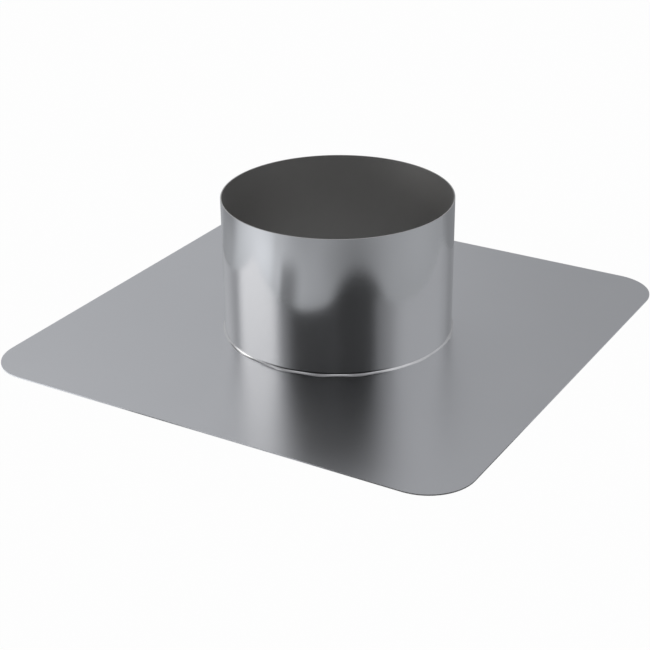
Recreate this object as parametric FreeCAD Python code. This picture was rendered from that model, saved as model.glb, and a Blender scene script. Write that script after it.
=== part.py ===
import FreeCAD, Part
import math
import os

# Sheet-metal flashing for a round roof pipe: a flat square plate with rounded corners,
# a straight round collar set in the hole at its centre, and the weld that joins them.
# Millimetres. The origin is the centre of the plate's underside and +Z runs up the collar.

# Both pieces are cut from the same sheet
sheet_thickness = 0.8

# Base plate
plate_side = 330.0
plate_corner_radius = 30.0

# Collar: a rolled strip, its foot flush with the plate's underside
collar_outer_diameter = 150.0
collar_height = 92.0

# Foot weld, laid by hand in the corner between the plate and the collar. The sheets are
# thin, so it melts right through and lies flush with the underside.
weld_height = 0.8         # above the plate, up the collar's wall
weld_reach = 0.8          # out from the collar's wall, where the bead is narrowest
weld_crown = 0.05         # bulge beyond the straight line from wall to toe
fusion_depth = 0.25       # how far it melts into the collar's wall
root_reach = 0.3          # how far it melts out into the plate, at the plate's underside
weld_runs = 4             # the ring is laid as this many runs, end to end
sections_per_run = 24
weld_swells = [
    # angle from +X in degrees, spread in degrees, extra reach of the toe
    (-172, 6, 0.4),
    (-150, 5, 0.5),
    (-133, 5, 0.3),
    (-114, 4.5, 1.0),
    (-87, 4.5, 1.3),
    (-69.5, 4.5, 1.6),
    (-50, 4.5, 1.6),
    (-34, 5, 0.5),
    (-18, 5, 0.7),
    (12, 5, 0.6),
    (30, 5, 0.3),
    (47, 5, 1.0),
    (64, 5, 0.3),
    (84, 5, 1.3),
    (104, 5, 0.4),
    (122, 5, 1.1),
    (140, 5, 0.4),
    (160, 5, 0.8),
]

collar_outer_radius = collar_outer_diameter / 2
collar_inner_radius = collar_outer_radius - sheet_thickness

up = FreeCAD.Vector(0, 0, 1)


def rounded_square(side, radius):
    """Closed outline of a square with rounded corners, centred on the origin."""
    half = side / 2
    inner = half - radius
    edges = []
    for quarter in range(4):
        start = math.radians(90 * quarter)
        turn = FreeCAD.Rotation(up, 90 * quarter)
        side_start = turn.multVec(FreeCAD.Vector(half, -inner, 0))
        side_end = turn.multVec(FreeCAD.Vector(half, inner, 0))
        edges.append(Part.makeLine(side_start, side_end))
        centre = turn.multVec(FreeCAD.Vector(inner, inner, 0))
        circle = Part.Circle(centre, up, radius)
        edges.append(Part.Arc(circle, start, start + math.pi / 2).toShape())
    return Part.Wire(edges)


def make_plate_blank():
    """The flat plate with its round hole, before the weld melts into it."""
    sheet = Part.Face(rounded_square(plate_side, plate_corner_radius))
    hole = Part.makeCylinder(collar_outer_radius, sheet_thickness)
    return sheet.extrude(up * sheet_thickness).cut(hole)


def make_collar_blank():
    """The rolled collar as a plain ring, open at both ends."""
    outside = Part.makeCylinder(collar_outer_radius, collar_height)
    inside = Part.makeCylinder(collar_inner_radius, collar_height)
    return outside.cut(inside)


def toe_reach(angle):
    """How far the weld's toe stands out from the collar at an angle in degrees."""
    reach = weld_reach
    for swell_angle, spread, extra in weld_swells:
        away = (angle - swell_angle + 180) % 360 - 180
        reach += extra * math.exp(-0.5 * (away / spread) ** 2)
    return reach


def weld_profile(angle):
    """The weld's section in the upright plane at an angle in degrees."""
    plate_top = sheet_thickness
    reach = toe_reach(angle)
    fused_radius = collar_outer_radius - fusion_depth
    slope = weld_height / reach
    root_inside = FreeCAD.Vector(fused_radius, 0, 0)
    root_outside = FreeCAD.Vector(collar_outer_radius + root_reach, 0, 0)
    toe = FreeCAD.Vector(collar_outer_radius + reach, 0, plate_top)
    top = FreeCAD.Vector(fused_radius, 0, plate_top + weld_height + slope * fusion_depth)
    outward = FreeCAD.Vector(weld_height, 0, reach)
    outward.normalize()
    crown = (toe + top) * 0.5 + outward * weld_crown
    section = Part.Wire([
        Part.makeLine(root_inside, root_outside),
        Part.makeLine(root_outside, toe),
        Part.Arc(toe, crown, top).toShape(),
        Part.makeLine(top, root_inside),
    ])
    section.rotate(FreeCAD.Vector(0, 0, 0), up, angle)
    return section


def weld_run(number):
    """One run of the bead, lofted through its sections from end to end."""
    run_angle = 360 / weld_runs
    step = run_angle / sections_per_run
    start = run_angle * number
    profiles = [weld_profile(start + step * i) for i in range(sections_per_run + 1)]
    return Part.makeLoft(profiles, True)


def make_foot_weld():
    """The runs joined into one bead right round the collar's foot."""
    runs = [weld_run(number) for number in range(weld_runs)]
    return runs[0].multiFuse(runs[1:]).removeSplitter()


def save(shape, node):
    shape.exportStep("parts/" + node + ".step")


os.makedirs("parts", exist_ok=True)
foot_weld = make_foot_weld()
save(make_plate_blank().cut(foot_weld), "base_plate")
save(make_collar_blank().cut(foot_weld), "collar")
save(foot_weld, "foot_weld")
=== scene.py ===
import bisect
import math

import bmesh
import bpy
from mathutils import Matrix, Vector, noise


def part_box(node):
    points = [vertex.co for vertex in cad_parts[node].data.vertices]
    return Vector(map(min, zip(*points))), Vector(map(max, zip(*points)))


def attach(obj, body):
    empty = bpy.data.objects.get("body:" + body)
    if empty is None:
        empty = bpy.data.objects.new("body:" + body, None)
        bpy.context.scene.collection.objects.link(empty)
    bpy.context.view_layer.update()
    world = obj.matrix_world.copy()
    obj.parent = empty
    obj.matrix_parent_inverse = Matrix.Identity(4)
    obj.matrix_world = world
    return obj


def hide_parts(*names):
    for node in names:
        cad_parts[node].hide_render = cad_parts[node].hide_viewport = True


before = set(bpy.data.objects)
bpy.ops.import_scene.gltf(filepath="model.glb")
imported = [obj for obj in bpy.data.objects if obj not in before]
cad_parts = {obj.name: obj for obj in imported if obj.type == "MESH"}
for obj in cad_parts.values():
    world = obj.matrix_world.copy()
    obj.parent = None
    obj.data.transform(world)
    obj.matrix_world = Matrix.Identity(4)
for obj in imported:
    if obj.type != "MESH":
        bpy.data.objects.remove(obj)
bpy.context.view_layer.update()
print("frame loaded:", ", ".join(sorted(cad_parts)))

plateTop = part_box("base_plate")[1].z
collarRadius = 0.075    # outside, as the record's pin mount says
toDegrees = 180 / math.pi


class Signal:
    # One shader socket, or a material's whole tree while it has no socket yet
    def __init__(self, tree, socket=None):
        self.tree = tree
        self.socket = socket

    def node(self, kind, settings=None, values=None, output=0):
        made = self.tree.nodes.new(kind)
        for name, value in (settings or {}).items():
            setattr(made, name, value)
        for name, value in (values or {}).items():
            if isinstance(value, Signal):
                self.tree.links.new(value.socket, made.inputs[name])
            else:
                made.inputs[name].default_value = value
        return Signal(self.tree, made.outputs[output]) if made.outputs else made

    def math(self, operation, first, second=0.0, third=0.0):
        return self.node("ShaderNodeMath", {"operation": operation}, {0: first, 1: second, 2: third})

    def __add__(self, other):
        return self.math("ADD", self, other)

    def __sub__(self, other):
        return self.math("SUBTRACT", self, other)

    def __rsub__(self, other):
        return self.math("SUBTRACT", other, self)

    def __mul__(self, other):
        return self.math("MULTIPLY", self, other)

    def __abs__(self):
        return self.math("ABSOLUTE", self)

    def rise(self, start, end):
        # 0 before start, 1 after end, a smooth step between; start above end makes it fall
        settings = {"interpolation_type": "SMOOTHSTEP"}
        if start < end:
            return self.node("ShaderNodeMapRange", settings, {0: self, 1: start, 2: end})
        return 1 - self.node("ShaderNodeMapRange", settings, {0: self, 1: end, 2: start})

    def within(self, edges):
        # 1 between two soft edges, each given as its middle and its softness
        low, lowSoft, high, highSoft = edges
        rising = self.rise(low - lowSoft / 2, low + lowSoft / 2)
        return rising * self.rise(high + highSoft / 2, high - highSoft / 2)

    def swing(self, amount):
        # A noise made to sway about nought, by half the amount to either side
        return (self - 0.5) * amount

    def vector(self, operation, other, output="Vector"):
        return self.node("ShaderNodeVectorMath", {"operation": operation}, {0: self, 1: other}, output)

    def size(self):
        return self.node("ShaderNodeVectorMath", {"operation": "LENGTH"}, {0: self}, "Value")

    def axis(self, name):
        return self.node("ShaderNodeSeparateXYZ", None, {0: self}, "XYZ".index(name))

    def stretched(self, scale):
        return self.node("ShaderNodeMapping", None, {"Vector": self, "Scale": scale})

    def noise(self, scale, detail):
        return self.node("ShaderNodeTexNoise", None, {"Vector": self, "Scale": scale, "Detail": detail})

    def tint(self, share, colourA, colourB):
        values = {0: share, 6: colourA, 7: colourB}
        return self.node("ShaderNodeMix", {"data_type": "RGBA"}, values, 2)


def newMaterial(name):
    material = bpy.data.materials.new(name)
    material.use_nodes = True
    material.node_tree.nodes.clear()
    return material, Signal(material.node_tree)


def finishMetal(tree, colour, roughness, height, distance):
    # Everything that the metals share: a fully metallic surface with a fine relief
    relief = tree.node("ShaderNodeBump", None, {"Strength": 1.0, "Distance": distance, "Height": height})
    values = {"Base Color": colour, "Metallic": 1.0, "Roughness": roughness, "Normal": relief}
    shader = tree.node("ShaderNodeBsdfPrincipled", None, values)
    tree.node("ShaderNodeOutputMaterial", None, {"Surface": shader})


def facing(spot, angle, spread):
    # 1 near an upright line on the collar's wall, 0 further round from it than the wider angle
    widest, narrowest = spread
    way = Vector((math.cos(angle), math.sin(angle), 0)) / collarRadius
    return spot.vector("DOT_PRODUCT", way, "Value").rise(math.cos(widest), math.cos(narrowest))


def dress(node, material):
    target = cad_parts[node]
    for slot in target.material_slots:
        slot.material = material


# Camera, fitted to the plate's edges, the rim and the joint in the photograph

cameraPose = {
    "azimuth": math.radians(30.704),    # from straight in front, round to the right
    "elevation": math.radians(25.747),
    "roll": math.radians(-0.522),
    "distance": 1.04336,                # from the plate's centre along the line of sight
    "slide": (-0.008836, -0.0005275),   # to the right and up, in the image's plane
    "lens": 87.0,
    "sensor": 36.0,
    "nearest": 0.01,
    "farthest": 100.0,
}
azimuth = cameraPose["azimuth"]
viewRight = Vector((math.cos(azimuth), math.sin(azimuth), 0))   # level, to the image's right
viewFront = Vector((math.sin(azimuth), -math.cos(azimuth), 0))  # level, towards the camera


def makeCamera(pose):
    tilt = pose["elevation"]
    back = viewFront * math.cos(tilt) + Vector((0, 0, math.sin(tilt)))
    above = back.cross(viewRight)
    turn = pose["roll"]
    right = viewRight * math.cos(turn) + above * math.sin(turn)
    top = above * math.cos(turn) - viewRight * math.sin(turn)
    place = right * pose["slide"][0] + top * pose["slide"][1] + back * pose["distance"]
    data = bpy.data.cameras.new("camera")
    data.lens = pose["lens"]
    data.sensor_width = pose["sensor"]
    data.clip_start = pose["nearest"]
    data.clip_end = pose["farthest"]
    camera = bpy.data.objects.new("camera", data)
    turned = Matrix((right, top, back)).transposed().to_4x4()
    camera.matrix_world = Matrix.Translation(place) @ turned
    bpy.context.scene.collection.objects.link(camera)
    bpy.context.scene.camera = camera


makeCamera(cameraPose)
print("camera placed")


def bearing(place):
    # Degrees round the upright axis, 0 towards the camera and rising to the image's right
    toRight = place.vector("DOT_PRODUCT", viewRight, "Value")
    toFront = place.vector("DOT_PRODUCT", viewFront, "Value")
    return place.math("ARCTAN2", toRight, toFront) * toDegrees


def patch(turn, reach, area):
    # A factor that is 1 outside a soft-edged area and 1 + change inside it. Its across runs from
    # the left edge to the right one, and its along is an elevation or a distance on the floor.
    left, leftSoft, right, rightSoft = area["across"]
    middle = (left + right) / 2
    away = turn.math("WRAP", turn - middle, 180.0, -180.0)
    across = away.within((left - middle, leftSoft, right - middle, rightSoft))
    return across * reach.within(area["along"]) * area["change"] + 1


# Studio: an even surround, dimmed low down except behind and brighter overhead, with soft boxes
# on the left and behind it, a wide fill on the right, a dark panel in front in two parts and a
# darker stretch at the back on the right. Every edge has its softness, all in degrees.

studioLight = {
    "surround": 0.489,
    "tint": (0.985, 1.0, 1.020, 1),
    "lampTint": (1.002, 1.0, 0.994, 1),
    "lampTimes": 3,         # times the surround, where a light has all of the lamp's tint
    "panels": [
        {"across": (-138, 40, 138, 40), "along": (-20, 10, 52, 16), "change": -0.47},
        {"across": (-190, 10, 190, 10), "along": (62, 16, 110, 10), "change": 0.55},
        {"across": (-120, 14, -61.5, 14), "along": (5, 10, 48, 12), "change": 0.60},
        {"across": (-115, 14, -63, 14), "along": (2, 4, 27.8, 4), "change": 3.00},
        {"across": (-150, 30, -119.5, 14), "along": (0, 10, 70, 10), "change": 0.40},
        {"across": (-165, 20, -125, 16), "along": (38, 10, 60, 10), "change": 2.0},
        {"across": (56, 28, 130, 30), "along": (5, 10, 60, 10), "change": 1.25},
        {"across": (-49.5, 12, -4, 5), "along": (17, 8, 51, 14), "change": -0.995},
        {"across": (-4, 5, 37, 8), "along": (14, 8, 50, 14), "change": -0.995},
        {"across": (142, 16, 176, 12), "along": (0, 10, 70, 10), "change": -0.25},
    ],
}


def makeWorld(light):
    world = bpy.data.worlds.new("studio")
    bpy.context.scene.world = world
    world.use_nodes = True
    world.node_tree.nodes.clear()
    tree = Signal(world.node_tree)
    way = tree.node("ShaderNodeTexCoord", None, None, "Generated")
    turn = bearing(way)
    elevation = tree.math("ARCSINE", way.axis("Z")) * toDegrees
    level = light["surround"]
    for panel in light["panels"]:
        level = patch(turn, elevation, panel) * level
    lamp = level.rise(light["surround"], light["surround"] * light["lampTimes"])
    colour = tree.tint(lamp, light["tint"], light["lampTint"])
    studio = tree.node("ShaderNodeBackground", None, {"Color": colour, "Strength": level})
    white = tree.node("ShaderNodeBackground", None, {"Color": (1, 1, 1, 1), "Strength": 1.0})
    seen = tree.node("ShaderNodeLightPath", None, None, "Is Camera Ray")
    shown = tree.node("ShaderNodeMixShader", None, {0: seen, 1: studio, 2: white})
    tree.node("ShaderNodeOutputWorld", None, {"Surface": shown})


makeWorld(studioLight)

floorLook = {
    "size": 20.0,           # across, so that its edge is past every view's horizon
    "drop": 0.0001,         # just under the plate, so that the two don't share a plane
    "colour": (0.78, 0.78, 0.78, 1),
    "tint": (0.965, 0.995, 1.047, 1),
    "whiteShare": 0.975,    # how much of the floor is white of its own, the rest is lit
    "softness": 0.002,      # of the line under the collar's wall, inside which it is only lit
    "tone": 0.365,          # how bright metal sees it
    # Painted pools of light on the floor, and painted shade where the change is below nought, as the
    # plate's shadow by its front corner; only reflections in the metal see them
    "paintedPools": [
        # right and front of the plate's centre, radius of the even middle and of the rim, change
        {"right": -0.26, "front": 0.07, "even": 0.0, "rim": 0.23, "change": 1.33},
        {"right": 0.25, "front": 0.08, "even": 0.0, "rim": 0.20, "change": 0.20},
        {"right": -0.16, "front": -0.13, "even": 0.03, "rim": 0.11, "change": 0.34},
        {"right": -0.20, "front": 0.105, "even": 0.01, "rim": 0.09, "change": 0.16},
        {"right": -0.10, "front": 0.19, "even": 0.02, "rim": 0.11, "change": 0.14},
        {"right": 0.06, "front": 0.26, "even": 0.0, "rim": 0.16, "change": -0.34},
        {"right": 0.046, "front": 0.169, "even": 0.044, "rim": 0.080, "change": -0.89},
    ],
    "paintedShades": [
        # Painted shade on the floor, seen only in reflections: a dark streak in front on the left, beside
        # it, and darker stretches behind on the left and on the right
        {"across": (-48, 5, -34, 12), "along": (0.150, 0.01, 0.238, 0.036), "change": -0.60},
        {"across": (-57, 5, -50, 6), "along": (0.150, 0.02, 0.300, 0.05), "change": -0.12},
        {"across": (-138, 16, -104, 14), "along": (0.100, 0.02, 0.500, 0.10), "change": -0.30},
        {"across": (112, 16, 200, 40), "along": (0.100, 0.02, 0.900, 0.20), "change": -0.30},
    ],
}


def makeFloor(look):
    mesh = bpy.data.meshes.new("floor")
    sheet = bmesh.new()
    bmesh.ops.create_grid(sheet, x_segments=1, y_segments=1, size=look["size"] / 2)
    bmesh.ops.translate(sheet, verts=sheet.verts, vec=(0, 0, -look["drop"]))
    sheet.to_mesh(mesh)
    sheet.free()
    floor = bpy.data.objects.new("floor", mesh)
    bpy.context.scene.collection.objects.link(floor)

    material, tree = newMaterial("paleFloor")
    mesh.materials.append(material)
    spot = tree.node("ShaderNodeTexCoord", None, None, "Object")
    turn = bearing(spot)
    reach = spot.size()
    tone = look["tone"]
    # Painted pools of light and painted shade, seen only in reflections
    for paintedPool in look["paintedPools"]:
        centre = viewRight * paintedPool["right"] + viewFront * paintedPool["front"]
        centre.z = -look["drop"]
        away = spot.vector("DISTANCE", centre, "Value")
        tone = (away.rise(paintedPool["rim"], paintedPool["even"]) * paintedPool["change"] + 1) * tone
    # Painted shade on the floor, seen only in reflections
    for paintedShade in look["paintedShades"]:
        tone = patch(turn, reach, paintedShade) * tone
    outside = reach.rise(collarRadius, collarRadius + look["softness"])
    seen = tree.node("ShaderNodeLightPath", None, None, "Is Camera Ray")
    mirrored = tree.node("ShaderNodeLightPath", None, None, "Is Glossy Ray")
    through = tree.node("ShaderNodeLightPath", None, None, "Is Transmission Ray")
    strength = seen + through + mirrored * tone
    colour = tree.tint(mirrored, (1, 1, 1, 1), look["tint"])
    glow = tree.node("ShaderNodeEmission", None, {"Color": colour, "Strength": strength})
    lit = tree.node("ShaderNodeBsdfDiffuse", None, {"Color": look["colour"]})
    share = (seen + mirrored + through) * outside * look["whiteShare"]
    surface = tree.node("ShaderNodeMixShader", None, {0: share, 1: lit, 2: glow})
    tree.node("ShaderNodeOutputMaterial", None, {"Surface": surface})


makeFloor(floorLook)
print("studio built")


# Base plate: satin rolled sheet, its cut edge paler and duller. All of its roughness stays above
# 0.274, where the denoiser changes its way and would leave patches in the blurred reflections.

plateFinish = {
    "colour": (0.715, 0.722, 0.750, 1),
    "cloudColour": (0.750, 0.757, 0.785, 1),
    "cloudShare": 0.75,        # of the change in colour, the rest comes from the grain
    "edgeColour": (0.96, 0.96, 0.97, 1),
    "edgeSlope": (0.6, 0.3),   # how far a face still looks up where the edge starts and is full
    "roughness": 0.292,
    "edgeRoughness": 0.3,      # added at the cut edge
    "cloud": (11.0, 2.0),      # a noise's scale and detail
    "smear": (40.0, 1.0),
    "cloudSwing": 0.02,        # how much each of them sways the roughness
    "smearSwing": 0.01,
    "grainSwing": 0.004,
    "grainAlong": 25.0,        # grain to the metre, along the rolling direction and across it
    "grainAcross": 2000.0,
    "grainDetail": 2.0,
    "grainDepth": 0.00000015,
}


def makePlateMetal(finish):
    material, tree = newMaterial("satinSheet")
    spot = tree.node("ShaderNodeTexCoord", None, None, "Object")
    scale = (finish["grainAlong"], finish["grainAcross"], finish["grainAcross"])
    grain = spot.stretched(scale).noise(1.0, finish["grainDetail"])
    cloud = spot.noise(*finish["cloud"])
    smear = spot.noise(*finish["smear"])
    upright = tree.node("ShaderNodeNewGeometry", None, None, "Normal").axis("Z")
    edge = abs(upright).rise(*finish["edgeSlope"])
    mottle = cloud * finish["cloudShare"] + grain * (1 - finish["cloudShare"])
    colour = tree.tint(mottle, finish["colour"], finish["cloudColour"])
    colour = tree.tint(edge, colour, finish["edgeColour"])
    swings = cloud.swing(finish["cloudSwing"]) + smear.swing(finish["smearSwing"])
    roughness = swings + grain.swing(finish["grainSwing"]) + finish["roughness"]
    roughness = edge * finish["edgeRoughness"] + roughness
    finishMetal(tree, colour, roughness, grain, finish["grainDepth"])
    return material


dress("base_plate", makePlateMetal(plateFinish))
print("base plate finished")


# Collar: the same sheet, glossier outside and rougher inside, its inside coloured darker as painted shade,
# with its rolled seam flush at the back and a thin dark line of painted shade in the crease along its
# foot, mostly in front

collarFinish = {
    "colour": (0.737, 0.737, 0.739, 1),
    "cloudGain": 1.02,         # how much brighter the clouds are
    "insideShadeColour": (0.451, 0.445, 0.439, 1),
    "creaseShadeColour": (0.05, 0.048, 0.05, 1),
    "roughness": 0.14,
    "insideRoughness": 0.52,
    "cloud": (14.0, 3.0),
    "cloudSwing": 0.04,
    "grainSwing": 0.04,
    "grainUp": 2400.0,
    "grainRound": 30.0,
    "grainDetail": 3.0,
    "grainDepth": 0.0000003,
    "wall": 0.0008,
    "turnOver": (0.4, 0.6),    # shares of the wall between which the outside turns to inside
    "seamAngle": math.radians(120.7),
    "seamHalfWidth": 0.0016,
    "seamCore": 0.6,           # share of the seam's width that has its full finish
    "seamSide": 0.01,          # from the axis, past which a spot is on the seam's side
    "seamRoughness": 0.1,      # added along the seam
    "creaseShadeAngle": math.radians(-68),
    "creaseShadeSpread": (math.radians(36.87), math.radians(23.07)),
    "creaseShadeHeight": (0.0019, 0.0030),
    "creaseShadeWander": 0.0006,
    "creaseShadeShare": 0.93,
}


def makeCollarMetal(finish):
    material, tree = newMaterial("glossySheet")
    spot = tree.node("ShaderNodeTexCoord", None, None, "Object")
    radius = spot.vector("MULTIPLY", (1, 1, 0)).size()
    inside = radius.rise(*(collarRadius - finish["wall"] * share for share in finish["turnOver"]))
    outside = 1 - inside
    scale = (finish["grainRound"], finish["grainRound"], finish["grainUp"])
    grain = spot.stretched(scale).noise(1.0, finish["grainDetail"])
    cloud = spot.noise(*finish["cloud"])

    seamWay = Vector((math.cos(finish["seamAngle"]), math.sin(finish["seamAngle"]), 0))
    acrossSeam = spot.vector("DOT_PRODUCT", (-seamWay.y, seamWay.x, 0), "Value")
    seamSide = spot.vector("DOT_PRODUCT", seamWay, "Value").rise(0.0, finish["seamSide"])
    seamEdge = finish["seamHalfWidth"]
    seam = abs(acrossSeam).rise(seamEdge, seamEdge * finish["seamCore"]) * seamSide * outside

    # Painted shade: a thin dark line in the crease just above the weld, mostly in front
    low, high = finish["creaseShadeHeight"]
    creaseShadeFoot = (spot.axis("Z") + cloud.swing(finish["creaseShadeWander"])).rise(high, low)
    creaseShade = creaseShadeFoot * facing(spot, finish["creaseShadeAngle"], finish["creaseShadeSpread"]) * outside

    brighter = tuple(part * finish["cloudGain"] for part in finish["colour"])
    colour = tree.tint(cloud, finish["colour"], brighter)
    # Painted shade: the inside wall is coloured darker than the outside
    colour = tree.tint(inside, colour, finish["insideShadeColour"])
    colour = tree.tint(creaseShade * finish["creaseShadeShare"], colour, finish["creaseShadeColour"])
    roughness = cloud.swing(finish["cloudSwing"]) + grain.swing(finish["grainSwing"]) + finish["roughness"]
    duller = inside * (finish["insideRoughness"] - finish["roughness"])
    roughness = duller + seam * finish["seamRoughness"] + roughness
    finishMetal(tree, colour, roughness, grain, finish["grainDepth"])
    return material


dress("collar", makeCollarMetal(collarFinish))
print("collar finished")


# Foot weld: the solid's own section and line, made finer, with the ripples of hand-fed metal

beadShape = {
    "steps": 1440,             # round the ring
    "rows": 9,                 # from the collar's wall down to the toe
    "height": 0.0008,
    "crown": 0.00005,
    "fusion": 0.00025,         # into the collar's wall
    "root": 0.0003,            # out into the plate at its underside
    "ripplePitch": 0.0012,
    "rippleDepth": 0.00003,
    "rippleLean": 0.35,        # how far a ripple runs ahead at the wall and trails at the toe, in pitches
    "wander": 0.00022,         # of the toe, from one puddle to the next
    "puddle": 0.005,
    "toeSlack": 0.000002,      # off the plate's top, within which a corner is one of the toe's
    "leastTurn": 0.000000001,  # between two corners of the toe
    "sharpAngle": math.radians(35),
}


def readToe(slack):
    # Where the solid's toe stands round the ring, as pairs of angle and radius
    toe = []
    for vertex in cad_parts["foot_weld"].data.vertices:
        if abs(vertex.co.z - plateTop) < slack:
            toe.append((math.atan2(vertex.co.y, vertex.co.x), math.hypot(vertex.co.x, vertex.co.y)))
    toe.sort()
    return [(toe[-1][0] - 2 * math.pi, toe[-1][1])] + toe + [(toe[0][0] + 2 * math.pi, toe[0][1])]


def toeAt(toe, angle, leastTurn):
    after = min(max(bisect.bisect(toe, (angle, 0.0)), 1), len(toe) - 1)
    (angleA, radiusA), (angleB, radiusB) = toe[after - 1], toe[after]
    return radiusA + (radiusB - radiusA) * (angle - angleA) / max(angleB - angleA, leastTurn)


def beadSection(shape, angle, reach):
    # The bead's outline at one angle, as pairs of radius and height
    inner = collarRadius - shape["fusion"]
    topZ = plateTop + shape["height"] + shape["height"] / reach * shape["fusion"]
    fall = Vector((collarRadius + reach - inner, plateTop - topZ))
    outward = Vector((-fall.y, fall.x)).normalized()
    section = [(inner, 0.0), (inner, topZ)]
    for row in range(1, shape["rows"]):
        down = row / shape["rows"]
        lean = shape["rippleLean"] * math.cos(down * math.pi)
        phase = angle * collarRadius / shape["ripplePitch"] + lean
        ripple = shape["rippleDepth"] * math.sin(2 * math.pi * phase)
        lift = 4 * down * (1 - down) * (shape["crown"] + ripple)
        section.append((inner + fall.x * down + outward.x * lift, topZ + fall.y * down + outward.y * lift))
    section.append((collarRadius + reach, plateTop))
    section.append((collarRadius + shape["root"], 0.0))
    return section


def makeBead(shape):
    toe = readToe(shape["toeSlack"])
    bead = bmesh.new()
    rings = []
    for step in range(shape["steps"]):
        angle = -math.pi + 2 * math.pi * step / shape["steps"]
        around = Vector((math.cos(angle), math.sin(angle), 0))
        puddle = noise.noise(around * (collarRadius / shape["puddle"]))
        reach = toeAt(toe, angle, shape["leastTurn"]) - collarRadius + shape["wander"] * puddle
        section = beadSection(shape, angle, reach)
        rings.append([bead.verts.new((around.x * r, around.y * r, z)) for r, z in section])
    for ring, following in zip(rings, rings[1:] + rings[:1]):
        for i in range(len(ring)):
            j = (i + 1) % len(ring)
            bead.faces.new((ring[i], ring[j], following[j], following[i]))
    bmesh.ops.recalc_face_normals(bead, faces=bead.faces)
    for face in bead.faces:
        face.smooth = True
    mesh = bpy.data.meshes.new("weldBead")
    bead.to_mesh(mesh)
    bead.free()
    mesh.set_sharp_from_angle(angle=shape["sharpAngle"])
    piece = bpy.data.objects.new("weldBead", mesh)
    bpy.context.scene.collection.objects.link(piece)
    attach(piece, "root")
    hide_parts("foot_weld")
    return piece


weldFinish = {
    "colour": (0.80, 0.80, 0.815, 1),
    "patchColour": (0.58, 0.58, 0.59, 1),
    "paintedGlintColour": (0.95, 0.95, 0.95, 1),
    "toeShadeColour": (0.37, 0.37, 0.38, 1),
    "toeShadeAngle": math.radians(-62),
    "toeShadeSpread": (math.radians(27), math.radians(18)),
    "toeShadeHeight": (0.00105, 0.00150),    # full up to the first, gone above the second
    "toeShadeWander": 0.0004,
    "toeShadeEverywhere": 0.1,               # how much painted shade the toe has all round, and how much more in front
    "toeShadeInFront": 0.9,
    "glintAngle": math.radians(-112),
    "glintSpread": (math.radians(8), math.radians(5)),
    "shadeUnderGlint": (math.radians(15), math.radians(9)),    # spread of the painted shade on the toe below it
    "glintRoughness": 0.12,             # taken off at the glint
    "roughness": 0.34,
    "patches": (160.0, 3.0),
    "patchFrom": 0.35,
    "patchShare": 0.9,
    "patchSwing": 0.2,
    "grit": (900.0, 2.0),
    "gritSwing": 0.1,
    "gritDepth": 0.00002,
}


def makeWeldMetal(finish):
    material, tree = newMaterial("weldMetal")
    spot = tree.node("ShaderNodeTexCoord", None, None, "Object")
    grit = spot.noise(*finish["grit"])
    patches = spot.noise(*finish["patches"])
    # Painted glint: the bead is coloured nearly white at one spot on the left, where its roughness is also
    # lower
    glint = facing(spot, finish["glintAngle"], finish["glintSpread"])
    # Painted shade: the bead's lower part by its toe is coloured darker, mostly in front and under the
    # glint
    front = facing(spot, finish["toeShadeAngle"], finish["toeShadeSpread"])
    front = front + facing(spot, finish["glintAngle"], finish["shadeUnderGlint"])
    full, gone = finish["toeShadeHeight"]
    lowered = (spot.axis("Z") + patches.swing(finish["toeShadeWander"])).rise(gone, full)
    toeShade = lowered * (front * finish["toeShadeInFront"] + finish["toeShadeEverywhere"])
    mottle = (patches - finish["patchFrom"]) * finish["patchShare"]
    colour = tree.tint(mottle, finish["colour"], finish["patchColour"])
    colour = tree.tint(toeShade, colour, finish["toeShadeColour"])
    colour = tree.tint(glint * (1 - toeShade), colour, finish["paintedGlintColour"])
    roughness = grit.swing(finish["gritSwing"]) + patches.swing(finish["patchSwing"]) + finish["roughness"]
    roughness = roughness - glint * finish["glintRoughness"]
    finishMetal(tree, colour, roughness, grit, finish["gritDepth"])
    return material


weldBead = makeBead(beadShape)
weldBead.data.materials.append(makeWeldMetal(weldFinish))
print("foot weld finished")

scene = bpy.context.scene
scene.view_settings.view_transform = "Standard"
